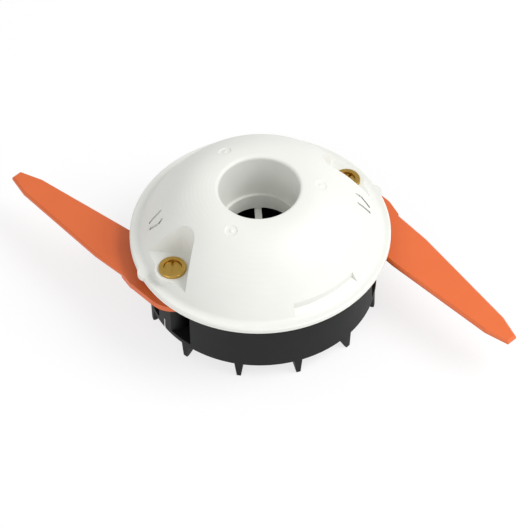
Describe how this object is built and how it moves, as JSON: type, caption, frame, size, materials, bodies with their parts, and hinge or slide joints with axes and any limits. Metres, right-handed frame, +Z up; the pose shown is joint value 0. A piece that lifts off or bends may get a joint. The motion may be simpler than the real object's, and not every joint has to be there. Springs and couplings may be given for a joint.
{
  "type": "blade trimmer head",
  "caption": "Round moulded cutting head for a string trimmer, with a domed cover, a bore for the gearbox neck and loose swinging blades in side windows.",
  "frame": {"origin": "on the head's axis, at the level of the fin tips that it stands on", "axes": "+Z up the axis and out of the gearbox bore, +X through the axis of the first blade's pivot"},
  "size_m": [0.1448, 0.222, 0.0736],
  "materials": {
    "cover_white": "satin, off-white",
    "base_black": "satin, black",
    "blade_orange": "satin, orange",
    "brass": "turned",
    "steel": "zinc plated"
  },
  "bodies": {
    "head": {"top_cover": "cover_white", "base_housing": "base_black", "pivot_bushing_1": "brass", "pivot_bushing_2": "brass", "pivot_screw_1": "brass", "pivot_screw_2": "brass", "pivot_nut_1": "steel", "pivot_nut_2": "steel", "upper_washer_1": "steel", "upper_washer_2": "steel", "lower_washer_1": "steel", "lower_washer_2": "steel", "cover_screw_1": "steel", "cover_screw_2": "steel", "cover_screw_3": "steel", "arbor_sleeve": "steel", "arbor_washer": "steel", "arbor_nut": "steel"},
    "blade_1": {"blade_1": "blade_orange"},
    "blade_2": {"blade_2": "blade_orange"}
  },
  "joints": [
    {"name": "blade_1_swing", "type": "hinge", "parent": "head", "child": "blade_1", "pos_m": [0.0493, 0, 0.0332], "axis": [0, 0, 1], "range_deg": [-12, 110]},
    {"name": "blade_2_swing", "type": "hinge", "parent": "head", "child": "blade_2", "pos_m": [-0.0493, 0, 0.0332], "axis": [0, 0, 1], "range_deg": [-12, 110]}
  ]
}
